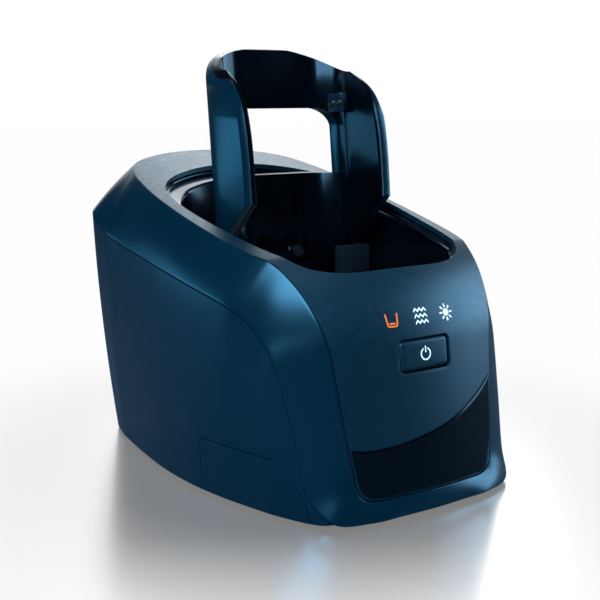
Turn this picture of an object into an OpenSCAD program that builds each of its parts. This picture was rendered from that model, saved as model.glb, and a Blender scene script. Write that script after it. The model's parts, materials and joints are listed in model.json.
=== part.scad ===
// Cleaning and charging station for an electric shaver.
// A glossy housing with a basin, a shaver holder that a geared motor lowers into the basin, and a
// cleaning chamber that stays on the table when the housing is lifted off it.
// Millimetres. +Z is up, the front faces -Y, +X is the right-hand side as seen from the front.
// The origin is the middle of the bottom.

/* [Housing] */
// Thickness of the outer shells
shell_t = 2.2; // [1.6:0.1:2.6]
// Gap between two neighbouring shells
seam_gap = 0.3; // [0.2:0.05:0.6]
// How far the front leans back, in millimetres per millimetre of height
front_lean = 0.137; // [0.08:0.005:0.18]
// How steeply the deck rises to the back, in millimetres per millimetre
deck_rise = 0.23; // [0.15:0.01:0.3]
// Radius of the shoulder between front and deck
shoulder_r = 44; // [36:1:48]
// Height at which the shells end above the table
skirt_z = 1.5; // [1:0.1:3]

/* [Basin] */
// Height of the basin's floor
basin_floor_z = 54; // [50:1:56]
// Thickness of the basin's wall
basin_t = 1.8; // [1.2:0.1:2.4]
// How far the ledge lies below the rim
ledge_drop = 4.2; // [3.5:0.1:6]
// Radius of the opening from the basin to the cleaning chamber
sump_r = 31; // [24:1:33]

/* [Holder] */
// Outer width of the holder's arch
arch_w = 78; // [76:1:80]
// Height of the arch's top above the table
arch_top_z = 183; // [180:1:186]
// Thickness of the arch's wall, trim included
arch_t = 6; // [5.5:0.1:6.5]
// Height of the window in the arch
window_h = 30; // [24:1:32]
// How far the holder can go down
lift_travel = 25; // [15:1:25]

/* [Drive] */
// Diameter of the guide rods
rod_d = 5; // [4:0.5:5]

/* [Buttons] */
// Width of the power button
power_w = 25; // [22:0.5:27]
// Height of the power button
power_h = 12.6; // [11:0.1:13.5]
// Height of the power button's middle above the table
power_z = 62.8; // [60:0.1:64]
// Gap round the buttons
button_gap = 0.4; // [0.3:0.05:0.6]

/* [Chamber] */
// Width of the cleaning chamber's tank
tank_w = 84; // [76:1:86]
// Depth of the tank from front to back
tank_d = 88; // [80:1:90]
// Height of the tank's upper edge
tank_top_z = 48; // [44:1:49]
// Wall thickness of the tank
tank_t = 2; // [1.6:0.1:2.6]

/* [Hidden] */
$fn = 48;
rack_module = 1;      // of the rack and the gear that meets it
drive_teeth = 16;     // of the gear that meets the rack
wheel_module = 0.8;   // of the two reduction gears
wheel_teeth = 24;
pinion_teeth = 12;
hair = 0.02;          // keeps cuts clear of the faces they meet
steps_per_span = 3;   // points that a curve gets between two of its control points

// ---------- the cover's middle line: front, shoulder, deck ----------
front_y0 = -96.8;     // the front's middle at table height
deck_z0 = 115.2;      // the deck's middle at y = 0
front_crown = 0.0041; // how much the front falls back to the sides, per square millimetre
deck_crown = 0.0004;
front_tilt = atan(front_lean);
deck_tilt = atan(deck_rise);
shoulder_turn = 90 - front_tilt - deck_tilt;
corner_z = (deck_z0 + deck_rise * front_y0) / (1 - deck_rise * front_lean);
corner_y = front_y0 + front_lean * corner_z;
shoulder_reach = shoulder_r * tan(shoulder_turn / 2);
shoulder_cy = corner_y - shoulder_reach * sin(front_tilt) + shoulder_r * cos(front_tilt);
shoulder_cz = corner_z - shoulder_reach * cos(front_tilt) - shoulder_r * sin(front_tilt);
front_run = corner_z / cos(front_tilt) - shoulder_reach;
shoulder_run = shoulder_r * shoulder_turn * PI / 180;
deck_start_y = corner_y + shoulder_reach * cos(deck_tilt);
deck_start_z = deck_z0 + deck_rise * deck_start_y;

// [y, z, slope] at a distance s up the middle line; the outward normal is [-cos(slope), sin(slope)]
function middle_line(s) =
    s < front_run
        ? [front_y0 + s * sin(front_tilt), s * cos(front_tilt), front_tilt]
    : s < front_run + shoulder_run
        ? let (a = front_tilt + (s - front_run) / shoulder_r * 180 / PI)
          [shoulder_cy - shoulder_r * cos(a), shoulder_cz + shoulder_r * sin(a), a]
    : let (d = s - front_run - shoulder_run)
      [deck_start_y + d * cos(deck_tilt), deck_start_z + d * sin(deck_tilt), 90 - deck_tilt];
// The cover's surface at x and s, raised by h along the middle line's normal
function cover_at(x, s, h = 0) =
    let (m = middle_line(s), d = h - (deck_crown + (front_crown - deck_crown) * cos(m[2])) * x * x)
    [x, m[0] - cos(m[2]) * d, m[1] + sin(m[2]) * d];
// Distance up the middle line at a height on the front, and at a y on the shoulder or the deck
function s_of_z(z) =
    z < front_run * cos(front_tilt)
        ? z / cos(front_tilt)
        : front_run + shoulder_r * (asin((z - shoulder_cz) / shoulder_r) - front_tilt) * PI / 180;
function s_of_y(y) =
    y < deck_start_y
        ? front_run + shoulder_r * (acos((shoulder_cy - y) / shoulder_r) - front_tilt) * PI / 180
        : front_run + shoulder_run + (y - deck_start_y) / cos(deck_tilt);

// ---------- smooth curves through control points ----------
function spline_at(a, b, c, d, t) =
    (2 * b + (c - a) * t + (2 * a - 5 * b + 4 * c - d) * t * t + (3 * b - a - 3 * c + d) * t * t * t) / 2;
function closed_curve(points, k = steps_per_span) =
    let (n = len(points))
    [for (i = [0 : n - 1], j = [0 : k - 1])
        spline_at(points[(i + n - 1) % n], points[i], points[(i + 1) % n], points[(i + 2) % n], j / k)];
// A half loop from the front's middle to the back's middle, completed on the left-hand side
function whole_loop(half) =
    concat(half, [for (i = [len(half) - 2 : -1 : 1]) [for (c = [0 : len(half[i]) - 1])
        c == 0 ? -half[i][0] : half[i][c]]]);
function unit(v) = v / max(norm(v), 1e-9);
function mix(a, b, t) = a * (1 - t) + b * t;

// ---------- the loops, each from the front's middle to the back's middle on the right ----------
// Edge of the cover, as x and distance up the middle line
seam_half = [
    [0, s_of_z(9.5)], [16, s_of_z(9.5)], [29, s_of_z(9.8)], [34.2, s_of_z(14)], [35.6, s_of_z(23)],
    [37.9, s_of_z(41)], [41, s_of_z(69)], [43.8, s_of_z(84)], [49, s_of_y(-61)], [53.8, s_of_y(-44)],
    [56.2, s_of_y(-22)], [57, s_of_y(2)], [56.4, s_of_y(26)], [54.2, s_of_y(46)], [50.5, s_of_y(62)],
    [42, s_of_y(76)], [24, s_of_y(83)], [0, s_of_y(84.5)]
];
// Rim of the opening in the deck
rim_half = [
    [0, s_of_y(-71)], [12, s_of_y(-70.8)], [22, s_of_y(-70)], [29, s_of_y(-68.5)], [33.5, s_of_y(-66.7)],
    [37, s_of_y(-64.8)], [40, s_of_y(-62)], [42.3, s_of_y(-58.5)], [44.6, s_of_y(-53)], [47.6, s_of_y(-40)],
    [50, s_of_y(-20)], [51.6, s_of_y(0)], [51.4, s_of_y(18)], [49.6, s_of_y(30)], [46, s_of_y(39.5)],
    [37, s_of_y(49)], [20, s_of_y(56.5)], [0, s_of_y(59)]
];
// Outer edge of the frame: along the table in front, up beside the front panel and round the body
crease_half = [
    [0, -97, skirt_z], [16, -96.4, skirt_z], [31, -95.2, skirt_z], [45.6, -89.8, 2.6], [51.8, -80.3, 13],
    [54.1, -74.5, 36.1], [57.2, -66.9, 59.7], [58.5, -59.7, 69.5], [60.8, -50.5, 76.9], [64.2, -38.8, 81.7],
    [66.3, -18, 85.6], [66.8, 6, 89.2], [66.7, 30, 92.8], [66.5, 50, 95.8], [66.2, 68, 100],
    [62, 86, 107.5], [40, 95.5, 110], [0, 97, 110]
];
// Lower edge of the housing
base_half = [for (p = [
    [0, -97], [16, -96.4], [31, -95.2], [45.6, -89.8], [50.7, -82.6],
    [54.4, -74.9], [57.9, -66], [60, -58.6], [62.3, -50], [65.2, -37.5],
    [68, -18], [68.6, 4], [67, 26], [64.6, 46], [61.8, 62],
    [55.5, 79], [38, 89.5], [0, 91.5]
]) [p[0], p[1], skirt_z]];
// Upper edge of the basin's well, inside the ledge, as x and y
well_half = [
    [0, -67.4], [12, -67.2], [21.6, -66.4], [27.8, -65], [32, -63.4],
    [35.2, -61.4], [38, -58.9], [40.4, -55.6], [42.9, -50.8], [46, -38.6],
    [48.4, -20], [47, -2], [46.6, 16], [44.6, 27], [40, 35],
    [32, 42], [17, 47.4], [0, 49]
];
last = len(seam_half) - 1;
loop_n = 2 * last * steps_per_span;
seam_xs = closed_curve(whole_loop(seam_half));
rim_xs = closed_curve(whole_loop(rim_half));
crease = closed_curve(whole_loop(crease_half));
base_edge = closed_curve(whole_loop(base_half));
well = closed_curve(whole_loop(well_half));
seam = [for (p = seam_xs) cover_at(p[0], p[1])];
rim = [for (p = rim_xs) cover_at(p[0], p[1])];

// ---------- shells ----------
// Normal of a grid at row i, column j; wrap closes the grid's rows into a ring
function grid_normal(g, i, j, wrap) =
    let (n = len(g), m = len(g[0]) - 1,
         a = wrap ? g[(i + 1) % n][j] : g[min(i + 1, n - 1)][j],
         b = wrap ? g[(i + n - 1) % n][j] : g[max(i - 1, 0)][j])
    unit(cross(a - b, g[i][min(j + 1, m)] - g[i][max(j - 1, 0)]));
function sink(g, depth, wrap) =
    [for (i = [0 : len(g) - 1]) [for (j = [0 : len(g[0]) - 1]) g[i][j] - depth * grid_normal(g, i, j, wrap)]];
// A closed solid between an outer and an inner grid of the same size
module skin(outer, inner, wrap) {
    n = len(outer);
    m = len(outer[0]);
    points = concat([for (r = outer) each r], [for (r = inner) each r]);
    o = n * m;
    rows = wrap ? n : n - 1;
    function id(i, j) = (i % n) * m + j;
    function quad(a, b, c, d) = [[a, b, c], [a, c, d]];
    faces = concat(
        [for (i = [0 : rows - 1], j = [0 : m - 2])
            each quad(id(i, j), id(i, j + 1), id(i + 1, j + 1), id(i + 1, j))],
        [for (i = [0 : rows - 1], j = [0 : m - 2])
            each quad(o + id(i + 1, j), o + id(i + 1, j + 1), o + id(i, j + 1), o + id(i, j))],
        [for (i = [0 : rows - 1]) each quad(id(i + 1, 0), o + id(i + 1, 0), o + id(i, 0), id(i, 0))],
        [for (i = [0 : rows - 1])
            each quad(id(i, m - 1), o + id(i, m - 1), o + id(i + 1, m - 1), id(i + 1, m - 1))],
        wrap ? [] : [for (j = [0 : m - 2]) each quad(id(0, j + 1), id(0, j), o + id(0, j), o + id(0, j + 1))],
        wrap ? [] : [for (j = [0 : m - 2])
            each quad(id(n - 1, j), id(n - 1, j + 1), o + id(n - 1, j + 1), o + id(n - 1, j))]
    );
    polyhedron(points, faces, convexity = 10);
}
// Share of the way from a to b, k of m steps, leaving e millimetres free at each end
function share(k, m, e, width) =
    let (f = min(e / max(width, 1), 0.42))
    f + (1 - 2 * f) * k / m;

cover_rows = 9;
function cover_grid(e) =
    [for (i = [0 : loop_n - 1])
        let (w = norm(seam[i] - rim[i]))
        [for (k = [0 : cover_rows])
            let (p = mix(seam_xs[i], rim_xs[i], share(k, cover_rows, e, w)))
            cover_at(p[0], p[1])]];
frame_rows = 4;
frame_bulge = 0.9;
function frame_grid(e) =
    [for (i = [0 : loop_n - 1])
        let (w = norm(crease[i] - seam[i]),
             along = crease[(i + 1) % loop_n] - crease[(i + loop_n - 1) % loop_n],
             out = unit(cross(along, seam[i] - crease[i])))
        [for (k = [0 : frame_rows])
            let (t = share(k, frame_rows, e, w))
            mix(crease[i], seam[i], t) + out * frame_bulge * 4 * t * (1 - t) * min(1, w / 20)]];
side_rows = 5;
side_bulge = 1.3;
// Wall between the lower edge and the crease, from loop station a to station b
function wall_grid(a, b, e) =
    [for (i = [a : b])
        let (w = norm(crease[i % loop_n] - base_edge[i % loop_n]),
             along = crease[(i + 1) % loop_n] - crease[(i + loop_n - 1) % loop_n],
             out = unit([along[1], -along[0], 0]))
        [for (k = [0 : side_rows])
            let (t = k == 0 ? 0 : k == side_rows ? 1 - min(0.4, e / w) : k / side_rows,
                 bulge = side_bulge * 4 * t * (1 - t) * min(1, w / 60))
            mix(base_edge[i % loop_n], crease[i % loop_n], t) + out * bulge]];
// The same wall with its two ends drawn in by e
function drawn_in(g, e) =
    let (n = len(g) - 1)
    [for (i = [0 : n]) [for (k = [0 : len(g[0]) - 1])
        i == 0 ? g[0][k] + e * unit(g[1][k] - g[0][k])
        : i == n ? g[n][k] + e * unit(g[n - 1][k] - g[n][k])
        : g[i][k]]];
module wall(a, b) {
    outer = drawn_in(wall_grid(a, b, seam_gap), seam_gap / 2);
    inner = sink(drawn_in(wall_grid(a, b, shell_t + 0.4), 0.6), shell_t, false);
    skin(outer, inner, false);
}
side_a = 3 * steps_per_span;
side_b = 15 * steps_per_span;
module side_wall() {
    wall(side_a, side_b);
}

// ---------- placing things on the leaning front ----------
module on_front(z, x = 0) {
    translate([x, front_y0 + front_lean * z, z])
        rotate([-front_tilt, 0, 0])
            children();
}
// The same on the shoulder, where the surface leans more
module on_cover(z, x = 0) {
    s = s_of_z(z);
    m = middle_line(s);
    translate(cover_at(x, s))
        rotate([-m[2], 0, 2 * front_crown * x * 180 / PI])
            children();
}
// A drawing in x and z, pushed back along +y by d from y = y0
module plate(y0, d) {
    translate([0, y0 + d, 0])
        rotate([90, 0, 0])
            linear_extrude(d)
                children();
}
module round_rect(w, h, r) {
    union() {
        square([w - 2 * r, h], center = true);
        square([w, h - 2 * r], center = true);
        for (x = [-1, 1], y = [-1, 1])
            translate([x * (w / 2 - r), y * (h / 2 - r)])
                circle(r);
    }
}

// ---------- symbols ----------
icon_z = 77.4;
icon_h = 6.4;
refill_x = -14;
drying_x = 13.6;
lens_t = 2.6;
lens_gap = 0.06;
module tub(top_w, foot_w, low, high, r) {
    hull() {
        for (side = [-1, 1]) {
            translate([side * (foot_w / 2 - r), low + r]) circle(r);
            translate([side * (top_w / 2 - 0.15), high - 0.15]) square(0.3, center = true);
        }
    }
}
module refill_shape(g = 0) {
    top_w = 6;
    foot_w = 4.9;
    low = -2.9;
    high = 2.5;
    line = 0.58;
    difference() {
        tub(top_w + 2 * g, foot_w + 2 * g, low - g, high + g, 1.2);
        tub(top_w - 2 * line - 2 * g, foot_w - 2 * line - 2 * g, low + line + g, high + 1, 0.75);
    }
    translate([0, low + line + 0.85])
        square([2.5 + 2 * g, 0.75 + 2 * g], center = true);
}
module rinse_shape(g = 0) {
    bands = 3;
    peaks = 3;
    pitch = 2.1;
    rise = 1.1;
    line = 0.75 + 2 * g;
    function zigzag(k, up) = [(k - peaks) / 2 * pitch, (k % 2) * rise - rise / 2 + up];
    for (b = [0 : bands - 1])
        translate([0, (b - 1) * 2.4 - line / 2])
            polygon(concat(
                [for (k = [0 : 2 * peaks]) zigzag(k, 0)],
                [for (k = [2 * peaks : -1 : 0]) zigzag(k, line)]));
}
module drying_shape(g = 0) {
    rays = 8;
    circle(1.45 + g);
    for (k = [0 : rays - 1])
        rotate(k * 360 / rays)
            translate([2.75, 0])
                square([1.4 + 2 * g, 0.62 + 2 * g], center = true);
}
module icon_cut(g) {
    on_cover(icon_z, refill_x) plate(-1, lens_t + 3) refill_shape(g);
    on_cover(icon_z, 0) plate(-1, lens_t + 3) rinse_shape(g);
    on_cover(icon_z, drying_x) plate(-1, lens_t + 3) drying_shape(g);
}

// ---------- outer shells ----------
frame_color = "midnightblue";
panel_color = "darkslategray";
module outer_frame() {
    color(frame_color)
        skin(frame_grid(seam_gap / 2), sink(frame_grid(shell_t + 0.5), shell_t, true), true);
}
module power_outline(g) {
    round_rect(power_w + 2 * g, power_h + 2 * g, 2.2 + g);
}
module top_cover() {
    color(panel_color)
        difference() {
            skin(cover_grid(seam_gap / 2), sink(cover_grid(shell_t + 0.2), shell_t, true), true);
            on_front(power_z) plate(-3, 12) power_outline(button_gap);
            icon_cut(lens_gap);
        }
}
// Glossy inlay along the front panel's lower part, higher towards the right
inlay_lift = 0.15;
inlay_t = 0.35;
inlay_top = [[-35.9, 30.4], [-33.6, 29.8], [-29, 29.2], [-18, 29.4], [-4, 31.4], [10, 34.6], [22, 39.2],
    [31, 44], [37.6, 48.4]];
inlay_low = [[-34.9, 22.6], [-33.4, 15], [-29, 10.9], [-18, 10.4], [-4, 10.4], [10, 10.4], [22, 10.5],
    [31, 11.8], [35.6, 26]];
module front_gloss_inlay() {
    rows = 3;
    k = 3;
    n = len(inlay_top) - 1;
    function edge(points, i) =
        let (a = min(floor(i / k), n - 1), t = i / k - a)
        spline_at(points[max(a - 1, 0)], points[a], points[a + 1], points[min(a + 2, n)], t);
    function grid(h) =
        [for (i = [0 : n * k]) [for (j = [0 : rows])
            let (p = mix(edge(inlay_low, i), edge(inlay_top, i), j / rows))
            cover_at(p[0], s_of_z(p[1]), h)]];
    color("black")
        skin(grid(inlay_lift + inlay_t), grid(inlay_lift), false);
}
// Outline of the release button in y and z, seen from the side
module release_outline() {
    polygon([[-26, -2], [-26, 22.3], [-26.8, 24], [-28.6, 24.6], [-68, 24.6], [-71.2, 22.8],
        [-80.4, 9.4], [-82, 4], [-82, -2]]);
}
module release_prism(shrink) {
    translate([40, 0, 0])
        rotate([90, 0, 90])
            linear_extrude(40)
                offset(delta = -shrink) release_outline();
}
module side_panel() {
    difference() {
        side_wall();
        release_prism(0);
    }
}
module side_panel_right() {
    color(frame_color) side_panel();
}
module side_panel_left() {
    color(frame_color) mirror([1, 0, 0]) side_panel();
}
inlet_z = 19;
module inlet_outline(g) {
    union() {
        square([7 + 2 * g, 7.2 + 2 * g], center = true);
        for (x = [-3.5, 3.5])
            translate([x, 0]) circle(3.6 + g);
    }
}
module rear_cover() {
    color(frame_color)
        difference() {
            wall(side_b, loop_n - side_b);
            translate([0, 0, inlet_z]) plate(70, 40) inlet_outline(0.3);
        }
}

// ---------- basin ----------
carriage_low_z = 84;
slot_w = 28;
slot_low_z = carriage_low_z - lift_travel - 2;
slot_high_z = 108;
deck_under = shell_t + 0.45;
flange_w = 2.2;
rim_centre = [0, s_of_y(-8)];
well_draft = 0.985;   // size of the well's foot, as a share of its upper edge
function inward(loop, i, d) =
    let (n = len(loop), a = loop[(i + 1) % n] - loop[(i + n - 1) % n])
    d * unit([-a[1], a[0], 0]);
module basin_liner() {
    flange = [for (i = [0 : loop_n - 1])
        let (out = unit(rim_xs[i] - rim_centre))
        cover_at(rim_xs[i][0] + flange_w * out[0], rim_xs[i][1] + flange_w * out[1], -deck_under)];
    lip = [for (p = rim_xs) cover_at(p[0], p[1], -deck_under)];
    ledge_out = [for (i = [0 : loop_n - 1]) lip[i] + inward(rim, i, 0.4) - [0, 0, ledge_drop - deck_under]];
    ledge_in = [for (i = [0 : loop_n - 1])
        [well[i][0], well[i][1], ledge_out[i][2] - 0.5 + deck_rise * (well[i][1] - ledge_out[i][1]) * 0.6]];
    foot = [for (i = [0 : loop_n - 1])
        [well[i][0] * well_draft, well[i][1] * well_draft, basin_floor_z - basin_t - 0.5]];
    inner = [for (i = [0 : loop_n - 1]) [flange[i], lip[i], ledge_out[i], ledge_in[i], foot[i]]];
    outer = [for (i = [0 : loop_n - 1])
        [flange[i] - [0, 0, basin_t * 0.7],
         lip[i] - inward(rim, i, 1.4) - [0, 0, basin_t],
         ledge_out[i] - inward(rim, i, 1) - [0, 0, basin_t],
         ledge_in[i] - inward(rim, i, basin_t) - [0, 0, basin_t],
         foot[i] - inward(rim, i, basin_t)]];
    color("black")
        difference() {
            union() {
                skin(inner, outer, true);
                translate([0, 0, basin_floor_z - basin_t])
                    linear_extrude(basin_t)
                        polygon([for (i = [0 : loop_n - 1])
                            let (p = foot[i] - inward(rim, i, basin_t / 2))
                            [p[0], p[1]]]);
            }
            translate([0, sump_y, basin_floor_z - 10]) cylinder(r = sump_r, h = 20);
            translate([-slot_w / 2, 38, slot_low_z]) cube([slot_w, 24, slot_high_z - slot_low_z]);
        }
}
sump_y = -18;
module sump_gasket() {
    color("dimgray")
        translate([0, sump_y, tank_top_z + 0.6])
            difference() {
                cylinder(r = sump_r + 4, h = basin_floor_z - basin_t - tank_top_z - 0.7);
                translate([0, 0, -1]) cylinder(r = sump_r + 1.2, h = 12);
            }
}
module drying_coil() {
    turns = 3;
    wire_r = 0.9;
    color("peru")
        for (k = [0 : turns - 1])
            translate([0, sump_y, basin_floor_z - basin_t - 1.2])
                rotate_extrude()
                    translate([sump_r + 6 + k * 2.1, 0])
                        circle(wire_r, $fn = 16);
}

// ---------- cleaning chamber ----------
tank_mid_y = sump_y;
plate_top_z = 4.5;
tank_low_z = plate_top_z + 0.05;
plate_in = 5.4;
foot_spots = [[48, -58], [-48, -58], [44, 72], [-44, 72]];
foot_r = 6;
module tank_outline(g) {
    translate([0, tank_mid_y]) round_rect(tank_w + 2 * g, tank_d + 2 * g, 16 + g);
}
module cleaning_chamber() {
    color("gainsboro")
        difference() {
            union() {
                translate([0, 0, tank_low_z]) linear_extrude(tank_top_z - tank_low_z) tank_outline(0);
                translate([0, 0, tank_top_z - 2]) linear_extrude(2) tank_outline(1.6);
            }
            translate([0, 0, tank_low_z + tank_t]) linear_extrude(60) tank_outline(-tank_t);
        }
    fill_rib = 0.8;
    color("gainsboro")
        for (s = [-1, 1])
            translate([s * (tank_w / 2 - tank_t - fill_rib / 2 + 0.1), tank_mid_y, 38])
                cube([fill_rib + 0.2, 30, 1], center = true);
}
catch_y = -52;
module chamber_base() {
    color("black")
        difference() {
            union() {
                translate([0, 0, skirt_z])
                    linear_extrude(plate_top_z - skirt_z)
                        polygon([for (i = [0 : 2 : loop_n - 1])
                            let (p = base_edge[i] + inward(base_edge, i, plate_in))
                            [p[0], p[1]]]);
                for (s = [-1, 1])
                    translate([s * 46.3 - 1.7, catch_y - 5, plate_top_z - hair])
                        cube([3.4, 10, 10]);
            }
            for (p = foot_spots)
                translate([p[0], p[1], skirt_z - 1]) cylinder(r = foot_r + 0.05, h = 2);
        }
}
module rubber_feet() {
    color("gray")
        for (p = foot_spots)
            translate([p[0], p[1], 0]) cylinder(r = foot_r, h = skirt_z + 0.95);
}

// ---------- frame inside the rear of the housing ----------
shelf_z = 40;
boss_spots = [[38, 56], [-38, 56], [32, 80], [-32, 80]];
boss_r = 4;
pilot_r = 1.3;
floor_z = 7;
module housing_floor() {
    color("dimgray")
        difference() {
            union() {
                translate([0, 58, floor_z]) linear_extrude(2.4) round_rect(96, 44, 12);
                for (p = boss_spots)
                    translate([p[0], p[1], floor_z]) cylinder(r = boss_r, h = shelf_z - floor_z - 0.1);
            }
            for (p = boss_spots)
                translate([p[0], p[1], floor_z + 10]) cylinder(r = pilot_r, h = 40);
        }
}
rod_x = 16;
rod_y = 60;
gear_y = 78.7;
gear_z = 78;
rod_top_z = 117;
ear_left_x = -9;
ear_right_x = 12.4;
ear_t = 2.2;
axle_r = 2;
motor_z = gear_z - wheel_module * (wheel_teeth + pinion_teeth) / 2;
module lift_chassis() {
    color("slategray")
        difference() {
            union() {
                translate([-45, 52.4, shelf_z]) cube([90, 8.2, 3]);
                translate([-37, 52.4, shelf_z]) cube([74, 32, 3]);
                for (s = [-1, 1])
                    translate([s * 25.2 - 1.2, 52.4, shelf_z]) cube([2.4, 13.4, rod_top_z - shelf_z]);
                translate([-26.4, 52.4, rod_top_z - 3]) cube([52.8, 13.4, 3]);
                for (x = [ear_left_x, ear_right_x])
                    translate([x - ear_t / 2, 71.5, shelf_z]) cube([ear_t, 14.4, 47]);
            }
            for (s = [-1, 1])
                translate([s * rod_x, rod_y, 0]) cylinder(r = rod_d / 2 + 0.02, h = 200);
            for (p = boss_spots)
                translate([p[0], p[1], 0]) cylinder(r = 1.7, h = 100);
            translate([-60, gear_y, gear_z]) rotate([0, 90, 0]) cylinder(r = axle_r + 0.02, h = 120);
            translate([ear_right_x - 3, gear_y, motor_z]) rotate([0, 90, 0]) cylinder(r = 5.6, h = 6);
        }
}
module chassis_screws() {
    color("silver")
        for (p = boss_spots)
            translate([p[0], p[1], 0]) {
                translate([0, 0, shelf_z - 12]) cylinder(r = 1.25, h = 15.2);
                translate([0, 0, shelf_z + 3.05]) cylinder(r = 2.9, h = 1.8);
            }
}
module guide_rods() {
    color("silver")
        for (s = [-1, 1])
            translate([s * rod_x, rod_y, shelf_z + 0.2]) cylinder(d = rod_d, h = rod_top_z - shelf_z - 0.4);
}
motor_r = 9.6;
module lift_motor() {
    face_x = ear_right_x + ear_t / 2 + 0.1;
    color("gray")
        translate([face_x, gear_y, motor_z])
            rotate([0, 90, 0]) {
                cylinder(r = motor_r, h = 24);
                cylinder(r = 6.4, h = 26.4);
                translate([0, 0, -10.2]) cylinder(r = 1, h = 11);
            }
}
module gear_axle() {
    color("silver")
        translate([ear_left_x - 2, gear_y, gear_z])
            rotate([0, 90, 0])
                cylinder(r = axle_r, h = ear_right_x - ear_left_x + 4);
}
module limit_switches() {
    color("dimgray")
        for (z = [55, 100])
            translate([-36.5, 57, z]) cube([9.8, 6, 8]);
}
module control_board() {
    color("darkgreen")
        difference() {
            translate([-46, 83, 50.5]) cube([34, 1.6, 48]);
            for (x = [-43, -15], z = [54, 95])
                translate([x, 80, z]) rotate([-90, 0, 0]) cylinder(r = 1.5, h = 10);
        }
}
module board_chips() {
    color("black") {
        translate([-34, 81.2, 68]) cube([12, 1.75, 12]);
        translate([-42, 79, 58]) cube([6, 3.95, 5]);
        translate([-28, 78, 56]) cube([8, 4.95, 6]);
    }
    color("silver")
        for (x = [-38, -30])
            translate([x, 82.95, 88]) rotate([90, 0, 0]) cylinder(r = 3, h = 8);
}
board_back = 7.6;
module display_board() {
    color("darkgreen")
        on_front(69)
            translate([-23, board_back, -17]) cube([46, 1.6, 26.5]);
}
module indicator_leds() {
    color("white")
        for (x = [refill_x, 0, drying_x])
            on_front(icon_z - 1.2, x)
                translate([-1.6, board_back - 1.45, -1.4]) cube([3.2, 1.4, 2.8]);
}
switch_reach = 5;
power_travel = 0.8;
module tactile_switch() {
    color("silver")
        on_front(power_z) {
            translate([-3, switch_reach + 1.2, -3]) cube([6, board_back - switch_reach - 1.25, 6]);
            translate([0, switch_reach + 1.25, 0]) rotate([90, 0, 0]) cylinder(r = 1.6, h = 1.25);
        }
}
module refill_icon_lens() {
    color("orangered") on_cover(icon_z, refill_x) plate(-0.1, lens_t) refill_shape();
}
module rinse_icon_lens() {
    color("aliceblue") on_cover(icon_z, 0) plate(-0.1, lens_t) rinse_shape();
}
module drying_icon_lens() {
    color("aliceblue") on_cover(icon_z, drying_x) plate(-0.1, lens_t) drying_shape();
}
pin_x = 3.3;
module power_inlet() {
    color("black")
        difference() {
            union() {
                translate([0, 0, inlet_z]) plate(77, 14.6) inlet_outline(0);
                translate([-11, 77, inlet_z - 7.5]) cube([22, 6, 15]);
            }
            translate([0, 0, inlet_z]) plate(82, 20) inlet_outline(-1.1);
            for (s = [-1, 1])
                translate([s * pin_x, 70, inlet_z]) rotate([-90, 0, 0]) cylinder(r = 0.82, h = 20);
        }
}
module inlet_pins() {
    color("silver")
        for (s = [-1, 1])
            translate([s * pin_x, 72, inlet_z]) rotate([-90, 0, 0]) cylinder(r = 0.8, h = 16.5);
}

// ---------- release buttons ----------
latch_z = 9;
spring_z = 19.6;
spring_in_x = 49.6;
spring_out_x = 54.4;
module release_button() {
    intersection() {
        side_wall();
        release_prism(button_gap);
    }
    difference() {
        translate([52, catch_y - 8, latch_z]) cube([8.4, 16, 13]);
        translate([spring_out_x - 4, catch_y, spring_z]) rotate([0, 90, 0]) cylinder(r = 2.4, h = 4);
    }
}
module release_button_right() {
    color(frame_color) release_button();
}
module release_button_left() {
    color(frame_color) mirror([1, 0, 0]) release_button();
}
module latch_guides() {
    color("dimgray")
        for (s = [0, 1])
            mirror([s, 0, 0])
                union() {
                    translate([47, catch_y - 6, 16]) cube([2.5, 12, 16]);
                    translate([47, catch_y - 6, 29]) cube([11.4, 12, 3]);
                }
}
// A round wire wound on a helix along +x
module coil_spring(x0, x1, r, wire, turns) {
    sides = 6;
    per_turn = 12;
    rings = turns * per_turn;
    points = [for (i = [0 : rings], k = [0 : sides - 1])
        let (a = i * 360 / per_turn, b = k * 360 / sides, q = r + wire / 2 * cos(b))
        [x0 + wire / 2 + (x1 - x0 - wire) * i / rings + wire / 2 * sin(b), q * cos(a), q * sin(a)]];
    faces = concat(
        [[for (k = [sides - 1 : -1 : 0]) k]],
        [for (i = [0 : rings - 1], k = [0 : sides - 1])
            let (a = i * sides + k, b = i * sides + (k + 1) % sides)
            each [[a, b + sides, a + sides], [a, b, b + sides]]],
        [[for (k = [0 : sides - 1]) rings * sides + k]]
    );
    polyhedron(points, faces, convexity = 6);
}
module release_spring() {
    translate([0, catch_y, spring_z])
        coil_spring(spring_in_x, spring_out_x - 0.1, 1.8, 0.5, 4);
}
module release_spring_right() {
    color("silver") release_spring();
}
module release_spring_left() {
    color("silver") mirror([1, 0, 0]) release_spring();
}

// ---------- power button ----------
module front_drum(r) {
    // The front's crown is a very large cylinder that leans with the front
    translate([0, 1 / (2 * front_crown), 0]) cylinder(r = r, h = 60, center = true, $fn = 360);
}
module power_button() {
    color(panel_color)
        on_front(power_z)
            difference() {
                union() {
                    intersection() {
                        plate(-1, 4.4) power_outline(0);
                        front_drum(1 / (2 * front_crown));
                    }
                    translate([0, switch_reach - power_travel - 0.1, 0])
                        rotate([90, 0, 0])
                            cylinder(r = 2.2, h = 2);
                }
                plate(-2, 3.4) power_symbol(lens_gap);
            }
}
module power_symbol(g = 0) {
    ring_r = 2.3;
    line = 0.62;
    gap_w = 2;
    difference() {
        circle(ring_r + line / 2 + g);
        circle(ring_r - line / 2 - g);
        translate([0, ring_r]) square([gap_w - 2 * g, 2 * ring_r - 1], center = true);
    }
    translate([0, ring_r - 0.5]) square([line + 2 * g, 2.6 + 2 * g], center = true);
}
module power_symbol_lens() {
    color("aliceblue") on_front(power_z) plate(0, 1.38) power_symbol();
}

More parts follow.
